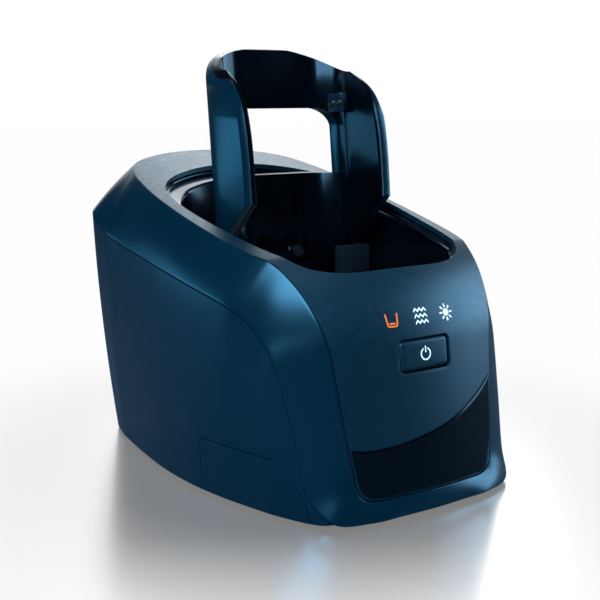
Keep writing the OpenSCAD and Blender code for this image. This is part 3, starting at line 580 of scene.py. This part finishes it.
def basin_profile(u):
    edge = rim.at(u % 1)
    away = (edge - RIM_MIDDLE).normalized()
    lip = cover_at(edge[0], edge[1], -DECK_UNDER)
    flange = cover_at(edge[0] + FLANGE_OUT * away[0], edge[1] + FLANGE_OUT * away[1], -DECK_UNDER)
    ledge = lip + inward(rim, u, 0.4) - Vector((0, 0, LEDGE_DROP - DECK_UNDER))
    w = well.at(u % 1)
    shelf = Vector((w[0], w[1], ledge.z - 0.5 + DECK_RISE * (w[1] - ledge.y) * 0.6))
    foot = Vector((w[0] * WALL_DRAFT, w[1] * WALL_DRAFT, BASIN_FLOOR))
    to_hole = Vector((foot.x, foot.y - SUMP_Y, 0))
    hole = Vector((0, SUMP_Y, BASIN_FLOOR)) + to_hole.normalized() * min(SUMP_R, to_hole.length - 1)
    return rounded([flange, lip, ledge, shelf, foot, hole], FOLD_R)


profiles = {}


def basin_place(u, v):
    key = round(u, 6)
    if key not in profiles:
        profiles[key] = basin_profile(u)
    line = profiles[key]
    return line[min(len(line) - 1, round(v * (len(line) - 1)))]


rows = len(basin_profile(0)) - 1
basin = sheet("basin_tray", basin_place, 306, rows, inwards=True)
if basin.data.polygons[len(basin.data.polygons) // 2].normal.z < -0.5:
    edit(basin, bpy.ops.mesh.flip_normals)
wall(basin, BASIN_T, edge=0)
CHANNEL = (-14, 38, 57), (14, 62, 108)    # what the holder's carriage needs
cutter = block("cutter", *CHANNEL)
upright_edges_round(cutter, 2)
cut(basin, cutter)
smooth(basin, 40)
hand_over(basin, "housing", "gloss_black", "basin_liner")
print(basin.name, len(basin.data.polygons), "faces")


# %% [markdown]
# ## Softened copies
# The exact model has knife-sharp edges. Real moulded parts have small radii, and those radii are what
# draws the thin bright lines on a glossy part. So the parts one can see are copied, their triangles are
# joined to whole faces, and every sharp edge gets a small bevel. Where the model's part is small or
# hidden, it stays as it is and only gets a better finish.

# %% Copy a node and round its edges
def softened(node, body, slot_name, width, segments=3):
    piece = copy_of(nodes[node], node + "_soft")
    piece.parent = None
    for key in list(piece.keys()):
        del piece[key]
    choose(piece)
    if piece.data.has_custom_normals:
        bpy.ops.mesh.customdata_custom_splitnormals_clear()
    edit(piece, lambda: bpy.ops.mesh.remove_doubles(threshold=0.004 * MM),
         lambda: bpy.ops.mesh.dissolve_limited(angle_limit=math.radians(1)))
    shape(piece, "BEVEL", width=width * MM, segments=segments, limit_method="ANGLE",
          angle_limit=math.radians(35), use_clamp_overlap=True)
    smooth(piece, 35)
    hand_over(piece, body, slot_name, node)
    return piece


for node, body, slot_name, width in (
    ("holder_arch", "holder", "gloss_navy", 0.9),
    ("holder_inner_trim", "holder", "gloss_black", 0.6),
    ("contact_block", "holder", "contact_plastic", 0.4),
    ("lift_carriage", "holder", "base_plastic", 0.5),
    ("power_inlet", "housing", "base_plastic", 0.25),
    ("cleaning_chamber", "chamber", "chamber_plastic", 0.4),
    ("chamber_base", "chamber", "base_plastic", 0.4),
):
    piece = softened(node, body, slot_name, width)
    print(piece.name, len(piece.data.polygons), "faces")


# %% [markdown]
# ## Power button
# The cap is a box with round corners whose front follows the crown of the panel. Its grid is fine enough
# to bend: each column moves back with the square of its distance from the middle, like the panel does.

# %% Power button
CAP_DEPTH = 3.3
cap = block("power_cap", (-POWER_W / 2, 0, -POWER_H / 2), (POWER_W / 2, CAP_DEPTH, POWER_H / 2))
upright_edges_round(cap, POWER_R, 8)
edit(cap, lambda: bpy.ops.mesh.bisect(plane_co=(0, 0, 0), plane_no=(1, 0, 0)))
for k in range(-11, 12):
    x = k * MM
    edit(cap, lambda: bpy.ops.mesh.bisect(plane_co=(x, 0, 0), plane_no=(1, 0, 0)))
shape(cap, "BEVEL", width=0.45 * MM, segments=4, limit_method="ANGLE", angle_limit=math.radians(50))
for vertex in cap.data.vertices:
    vertex.co.y += FRONT_CROWN / MM * vertex.co.x ** 2
tip_back(cap)
smooth(cap, 35)
hand_over(cap, "power_button", "satin_navy", "power_button")
print(cap.name, len(cap.data.polygons), "faces")


# %% [markdown]
# ## Springs
# Each release button is pushed out by a coil spring. A helix is easy to describe and hard to model by
# hand, so it is drawn as a curve with a round bevel and then made a mesh.

# %% Springs behind the release buttons
# Each coil runs from x 49.6, on the housing, to x 54.3, on the button, round the line y -52, z 19.6.
def spring(side, sign):
    turns, per_turn, radius, wire = 5, 24, 1.8, 0.25
    start, end = 49.6 + wire, 54.3 - wire
    curve = bpy.data.curves.new("release_coil_" + side, "CURVE")
    curve.dimensions = "3D"
    curve.bevel_depth = wire * MM
    curve.bevel_resolution = 3
    curve.use_fill_caps = True
    line = curve.splines.new("POLY")
    line.points.add(turns * per_turn)
    for k, point in enumerate(line.points):
        a = k / per_turn * math.tau
        x = start + (end - start) * k / (turns * per_turn)
        y, z = -52 + radius * math.cos(a), 19.6 + radius * math.sin(a)
        point.co = (sign * x * MM, y * MM, z * MM, 1)
    piece = bpy.data.objects.new("release_coil_" + side, curve)
    bpy.context.collection.objects.link(piece)
    choose(piece)
    bpy.ops.object.convert(target="MESH")
    piece = bpy.context.object
    smooth(piece, 60)
    hand_over(piece, "housing", "steel", "release_spring_" + side)
    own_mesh(piece)
    return piece


for side, sign in (("left", -1), ("right", 1)):
    print(spring(side, sign).name)


# %% [markdown]
# ## Finishes
# Every finish is a Principled shader with its own small story. A noise changes the colour a little from
# place to place, a second and finer one changes the roughness, and a third makes the bump. The sizes are
# given in millimetres, because a grain at the wrong scale makes a part look like a toy. All patterns
# read Object coordinates, which here are real places on the station. The dark plastics are nearly black
# in themselves: `shine` tints what they reflect, and `level` says how strongly they reflect.

# %% A helper that builds a finish
def finish(name, colour, roughness, *, tint=0.12, patch=18.0, gloss_spread=0.06, smear=6.0, grain=0.4,
           bump=0.05, coat=0.0, metallic=0.0, glow=0.0, glow_colour=None, stretch=None, ior=1.5, sub=0.0,
           shine=None, level=0.5):
    material = bpy.data.materials.new(name)
    material.use_nodes = True
    tree = material.node_tree
    shader = tree.nodes["Principled BSDF"]
    place = tree.nodes.new("ShaderNodeTexCoord")
    mapping = tree.nodes.new("ShaderNodeMapping")
    mapping.inputs["Scale"].default_value = stretch or (1, 1, 1)
    tree.links.new(place.outputs["Object"], mapping.inputs["Vector"])

    def noise(size, detail=4.0):
        node = tree.nodes.new("ShaderNodeTexNoise")
        node.inputs["Scale"].default_value = 1 / (size * MM)
        node.inputs["Detail"].default_value = detail
        tree.links.new(mapping.outputs["Vector"], node.inputs["Vector"])
        return node.outputs["Fac"]

    patches = tree.nodes.new("ShaderNodeMix")
    patches.data_type = "RGBA"
    patches.inputs["A"].default_value = (*(c * (1 - tint) for c in colour), 1)
    patches.inputs["B"].default_value = (*(min(1, c * (1 + tint)) for c in colour), 1)
    tree.links.new(noise(patch), patches.inputs["Factor"])
    tree.links.new(patches.outputs["Result"], shader.inputs["Base Color"])

    spread = tree.nodes.new("ShaderNodeMapRange")
    spread.inputs["From Min"].default_value = 0.3
    spread.inputs["From Max"].default_value = 0.7
    spread.inputs["To Min"].default_value = max(0.02, roughness - gloss_spread)
    spread.inputs["To Max"].default_value = min(1.0, roughness + gloss_spread)
    tree.links.new(noise(smear, 6.0), spread.inputs["Value"])
    tree.links.new(spread.outputs["Result"], shader.inputs["Roughness"])

    relief = tree.nodes.new("ShaderNodeBump")
    relief.inputs["Strength"].default_value = bump
    relief.inputs["Distance"].default_value = 0.05 * MM
    tree.links.new(noise(grain, 3.0), relief.inputs["Height"])
    tree.links.new(relief.outputs["Normal"], shader.inputs["Normal"])

    shader.inputs["Metallic"].default_value = metallic
    shader.inputs["IOR"].default_value = ior
    shader.inputs["Coat Weight"].default_value = coat
    shader.inputs["Coat Roughness"].default_value = 0.03
    if shine:
        shader.inputs["Specular Tint"].default_value = (*shine, 1)
    shader.inputs["Specular IOR Level"].default_value = level
    if sub:
        shader.inputs["Subsurface Weight"].default_value = sub
        shader.inputs["Subsurface Radius"].default_value = (1, 1, 1)
        shader.inputs["Subsurface Scale"].default_value = 0.002
    if glow:
        shader.inputs["Emission Color"].default_value = (*(glow_colour or colour), 1)
        shader.inputs["Emission Strength"].default_value = glow
    return material


print("finish helper ready")


# %% [markdown]
# ### Plastics
# The housing is injection moulded in dark navy. Polished moulds leave a slight orange peel a few
# millimetres wide, which bends reflections gently. The front panel and deck have a satin grain about a
# tenth of a millimetre wide. Inner parts come straight from a plain mould and are matte.

# %% Plastics and rubber
finishes = {
    "gloss_navy": finish("gloss_navy_plastic", (0.0001, 0.016, 0.029), 0.24, tint=0.08, patch=40, smear=14,
                         gloss_spread=0.02, grain=5, bump=0.02, shine=(0.3, 0.76, 1.0), level=0.8),
    "satin_navy": finish("satin_navy_plastic", (0.0003, 0.015, 0.026), 0.42, tint=0.06, patch=25, smear=3,
                         gloss_spread=0.04, grain=0.14, bump=0.08, shine=(0.35, 0.76, 1.0), level=0.8),
    "gloss_black": finish("gloss_black_plastic", (0.0003, 0.0015, 0.003), 0.16, tint=0.2, patch=30, smear=12,
                          gloss_spread=0.02, grain=6, bump=0.02, shine=(0.5, 0.8, 1.0), level=0.4),
    "base_plastic": finish("moulded_base_plastic", (0.006, 0.012, 0.018), 0.5, tint=0.15, patch=12, smear=2,
                           grain=0.25, bump=0.3),
    "chamber_plastic": finish("milky_tank_plastic", (0.55, 0.6, 0.64), 0.38, tint=0.05, patch=20, smear=4,
                              grain=0.6, bump=0.12, sub=0.3),
    "rubber_pad": finish("soft_rubber", (0.055, 0.055, 0.06), 0.82, tint=0.2, patch=4, smear=1.5, grain=0.2,
                         bump=0.5),
    "contact_plastic": finish("contact_carrier_plastic", (0.004, 0.014, 0.024), 0.22, tint=0.1, patch=5,
                              smear=2, grain=0.5, bump=0.06, coat=0.2),
    "bush_plastic": finish("bearing_plastic", (0.62, 0.45, 0.2), 0.45, tint=0.12, patch=3, smear=1.5,
                           grain=0.25, bump=0.2),
    "gear_plastic": finish("natural_acetal", (0.82, 0.8, 0.72), 0.34, tint=0.05, patch=4, smear=1.5,
                           grain=0.3, bump=0.1, sub=0.2),
    "chip_black": finish("component_epoxy", (0.018, 0.018, 0.02), 0.5, tint=0.3, patch=2, smear=1, grain=0.12,
                         bump=0.35),
    "led_white": finish("lamp_diffuser", (0.85, 0.87, 0.85), 0.3, tint=0.05, patch=1.5, smear=0.8, grain=0.3,
                        bump=0.08, sub=0.3),
}
print(len(finishes), "plastics")


# %% [markdown]
# ### Metals, board and lit symbols
# Drawn steel has fine lines along the rod, so its noise is stretched. Copper wire is lacquered, brass is
# turned. The board is green lacquer over faint copper tracks. A lit symbol is a milky window with a lamp
# behind it: a little glow is enough, because the window also reflects the room.

# %% Metals, board and symbols
finishes.update({
    "steel": finish("drawn_steel", (0.56, 0.57, 0.6), 0.28, tint=0.1, patch=6, smear=1.2, grain=0.3, bump=0.1,
                    metallic=1.0, stretch=(1, 1, 0.12)),
    "copper_wire": finish("lacquered_copper", (0.62, 0.24, 0.1), 0.25, tint=0.15, patch=8, smear=2, grain=0.3,
                          bump=0.08, metallic=1.0, coat=0.6),
    "brass_contact": finish("turned_brass", (0.78, 0.56, 0.24), 0.24, tint=0.12, patch=2, smear=0.8,
                            grain=0.15, bump=0.12, metallic=1.0),
    "circuit_board": finish("green_board_lacquer", (0.012, 0.13, 0.045), 0.32, tint=0.35, patch=1.6, smear=1,
                            grain=0.5, bump=0.15, coat=0.4, stretch=(1, 1, 0.3)),
    "icon_white": finish("lit_white_window", (0.8, 0.9, 1.0), 0.3, tint=0.04, patch=2, smear=1, grain=0.3,
                         bump=0.05, glow=0.55, glow_colour=(0.72, 0.87, 1.0)),
    "icon_orange": finish("lit_orange_window", (0.85, 0.16, 0.035), 0.3, tint=0.06, patch=2, smear=1,
                          grain=0.3, bump=0.05, glow=0.45, glow_colour=(1.0, 0.2, 0.05)),
})
print(len(finishes), "finishes")

# %% [markdown]
# Every new piece gets the finish that was named when it was handed over. The parts of the exact model
# get the finish of their own material slot.

# %% Give every piece and every carried-over node its finish
slot_of = {entry["node"]: entry["material_slot"] for entry in frame["record"]["subparts"]}
for node, piece in nodes.items():
    for entry in piece.material_slots:
        entry.material = finishes[slot_of[node]]
for name in made:
    piece = bpy.data.objects[name]
    piece.data.materials.clear()
    piece.data.materials.append(finishes[piece["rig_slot"]])
    for face in piece.data.polygons:
        face.material_index = 0
print(len(made), "new pieces,", len(nodes), "nodes painted")


# %% [markdown]
# ## Stage
# A wide floor with a mirror-like lacquer gives the soft reflection under the station. The reflection is
# strong close to the station, fades with distance, and is weak when one looks straight down. Apart from
# it the floor is white to the camera. To the light it is dim, so that it does not brighten dark sides.

# %% Floor
FLOOR_SIZE = 8
FLOOR_FADE, FLOOR_MIRROR = (0.09, 0.24), (0.8, 0.06)    # metres from the middle, share of mirror there
FLOOR_SLANT, FLOOR_LOOK = (0.35, 0.6), (0.15, 1)        # how flat the look is, share of mirror then
FLOOR_BLUR = 0.22
FLOOR_DIM = (0.1, 0.12, 0.15)


def ramp(tree, value, before, after, kind="LINEAR"):
    """A value carried from one range to another."""
    node = tree.nodes.new("ShaderNodeMapRange")
    node.interpolation_type = kind
    for key, number in zip(("From Min", "From Max", "To Min", "To Max"), (*before, *after)):
        node.inputs[key].default_value = number
    tree.links.new(value, node.inputs["Value"])
    return node.outputs["Result"]


def stage_floor():
    """White to the eye with a mirror-like lacquer, and dim to everything that it could light."""
    bpy.ops.object.select_all(action="DESELECT")
    bpy.ops.mesh.primitive_plane_add(size=FLOOR_SIZE, location=(0, 0, 0))
    floor = bpy.context.object
    floor.name = "studio_floor"
    material = bpy.data.materials.new("studio_floor_lacquer")
    material.use_nodes = True
    tree = material.node_tree
    tree.nodes.clear()
    path = tree.nodes.new("ShaderNodeLightPath")
    pale = tree.nodes.new("ShaderNodeEmission")
    pale.inputs["Color"].default_value = (1, 1, 1, 1)
    mirror = tree.nodes.new("ShaderNodeBsdfGlossy")
    mirror.inputs["Roughness"].default_value = FLOOR_BLUR
    seen = tree.nodes.new("ShaderNodeMixShader")
    spot = tree.nodes.new("ShaderNodeTexCoord")
    reach = tree.nodes.new("ShaderNodeVectorMath")
    reach.operation = "LENGTH"
    tree.links.new(spot.outputs["Object"], reach.inputs[0])
    slant = tree.nodes.new("ShaderNodeLayerWeight")
    slant.inputs["Blend"].default_value = 0.5
    share = tree.nodes.new("ShaderNodeMath")
    share.operation = "MULTIPLY"
    near = ramp(tree, reach.outputs["Value"], FLOOR_FADE, FLOOR_MIRROR, "SMOOTHSTEP")
    tree.links.new(near, share.inputs[0])
    tree.links.new(ramp(tree, slant.outputs["Facing"], FLOOR_SLANT, FLOOR_LOOK), share.inputs[1])
    tree.links.new(share.outputs["Value"], seen.inputs["Fac"])
    dim = tree.nodes.new("ShaderNodeBsdfDiffuse")
    dim.inputs["Color"].default_value = (*FLOOR_DIM, 1)
    whole = tree.nodes.new("ShaderNodeMixShader")
    out = tree.nodes.new("ShaderNodeOutputMaterial")
    tree.links.new(pale.outputs["Emission"], seen.inputs[1])
    tree.links.new(mirror.outputs["BSDF"], seen.inputs[2])
    tree.links.new(path.outputs["Is Camera Ray"], whole.inputs["Fac"])
    tree.links.new(dim.outputs["BSDF"], whole.inputs[1])
    tree.links.new(seen.outputs["Shader"], whole.inputs[2])
    tree.links.new(whole.outputs["Shader"], out.inputs["Surface"])
    floor.data.materials.append(material)
    print(floor.name, "ready")


stage_floor()

# %% [markdown]
# ## Light
# Gloss is only as good as what it reflects. A big soft box high on the left draws the pale patch on the
# frame's shoulder, a low one behind it tints the side wall, and one on the right brightens that side of
# the front panel. Two weaker ones light the deck.

# %% Soft boxes
def soft_box(name, place, target, size, watts):
    light = bpy.data.lights.new(name, "AREA")
    light.shape = "RECTANGLE"
    light.size, light.size_y = size
    light.energy = watts
    lamp = bpy.data.objects.new(name, light)
    bpy.context.collection.objects.link(lamp)
    lamp.location = place
    lamp.rotation_euler = (Vector(target) - Vector(place)).to_track_quat("-Z", "Y").to_euler()
    return lamp


middle = (cad_low + cad_high) / 2


def from_middle(direction, distance):
    return middle + Vector(direction).normalized() * distance


BOX_DISTANCE = 1.1
SKY_BLUE, TEAL, PALE = (0.5, 0.75, 1.0), (0.2, 0.65, 1.0), (0.93, 0.96, 1.0)
for name, direction, size, watts, tint in (
    ("left_shoulder_box", (-0.7, -0.42, 0.6), (1.0, 0.6), 19, SKY_BLUE),
    ("left_rear_box", (-0.74, 0.66, -0.1), (0.6, 0.6), 2.4, TEAL),
    ("right_front_box", (0.93, -0.34, 0.24), (0.8, 0.8), 11, SKY_BLUE),
    ("rear_top_box", (0.5, 0.66, 0.56), (0.6, 0.5), 3, PALE),
    ("overhead_box", (-0.1, -0.1, 1.0), (0.5, 0.5), 2.5, PALE),
):
    soft_box(name, from_middle(direction, BOX_DISTANCE), middle, size, watts).data.color = tint

# %% [markdown]
# A white wall stands behind the station, for the gloss to reflect. The rest of the room is dim to
# reflections but white to the camera, which keeps the sides of the housing dark.

# %% Room
WALL_BEHIND = Vector((0.56, 0.81, 0.17)).normalized()
WALL_EDGE = 0.74, 0.9    # where the wall begins and is whole, as the cosine from its middle
DIM_ROOM, WHITE = (0.012, 0.02, 0.03, 1), (1, 1, 1, 1)
world = bpy.data.worlds.new("room")
bpy.context.scene.world = world
world.use_nodes = True
tree = world.node_tree
background = tree.nodes["Background"]
path = tree.nodes.new("ShaderNodeLightPath")
place = tree.nodes.new("ShaderNodeTexCoord")
facing = tree.nodes.new("ShaderNodeVectorMath")
facing.operation = "DOT_PRODUCT"
facing.inputs[1].default_value = WALL_BEHIND
tree.links.new(place.outputs["Generated"], facing.inputs[0])
on_wall = ramp(tree, facing.outputs["Value"], WALL_EDGE, (0, 1), "SMOOTHSTEP")
room = tree.nodes.new("ShaderNodeMix")
room.data_type = "RGBA"
room.inputs["A"].default_value = DIM_ROOM
room.inputs["B"].default_value = WHITE
tree.links.new(on_wall, room.inputs["Factor"])
shade = tree.nodes.new("ShaderNodeMix")
shade.data_type = "RGBA"
shade.inputs["B"].default_value = WHITE
tree.links.new(path.outputs["Is Camera Ray"], shade.inputs["Factor"])
tree.links.new(room.outputs["Result"], shade.inputs["A"])
tree.links.new(shade.outputs["Result"], background.inputs["Color"])
background.inputs["Strength"].default_value = 1.0
print("room ready, its wall stands towards", tuple(round(c, 2) for c in WALL_BEHIND))


# %% [markdown]
# ## Camera
# The camera stands low in front, to the left of the station, and looks a little down at it.

# %% Camera
CAMERA_PLACE = Vector((-269.06, -393.1, 163.18)) * MM
CAMERA_AIM = Vector((0.555, 0.809, -0.192))
FOCAL_LENGTH = 63.56
lens = bpy.data.cameras.new("camera")
lens.lens = FOCAL_LENGTH
lens.clip_start = 0.01
camera = bpy.data.objects.new("camera", lens)
bpy.context.collection.objects.link(camera)
camera.location = CAMERA_PLACE
camera.rotation_euler = CAMERA_AIM.to_track_quat("-Z", "Y").to_euler()
bpy.context.scene.camera = camera
bpy.context.scene.view_settings.view_transform = "Standard"
print("camera at", [round(c, 3) for c in camera.location])
